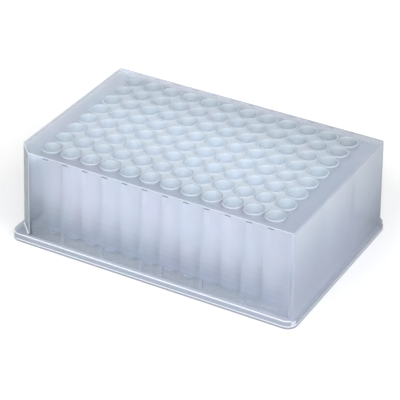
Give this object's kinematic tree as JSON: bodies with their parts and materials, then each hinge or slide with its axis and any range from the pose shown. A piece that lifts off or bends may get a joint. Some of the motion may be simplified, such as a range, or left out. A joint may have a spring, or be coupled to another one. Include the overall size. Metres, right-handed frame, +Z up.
{
  "type": "well plate",
  "caption": "Open rectangular plate with a grid of deep round-bottomed wells inside a straight skirt, for holding, mixing and storing many small liquid samples side by side.",
  "frame": {"origin": "centre of the base rectangle, on the surface that the plate stands on", "axes": "+X along the rows of wells, the long way; +Y across them, away from the keyed corner's side; +Z up out of the wells"},
  "size_m": [0.1278, 0.0854, 0.0415],
  "materials": {
    "polypropylene": "natural, translucent polypropylene as moulded: milky and faintly blue, satin outside, with soft highlights"
  },
  "bodies": {
    "root": {"well_plate": "polypropylene"}
  },
  "joints": []
}
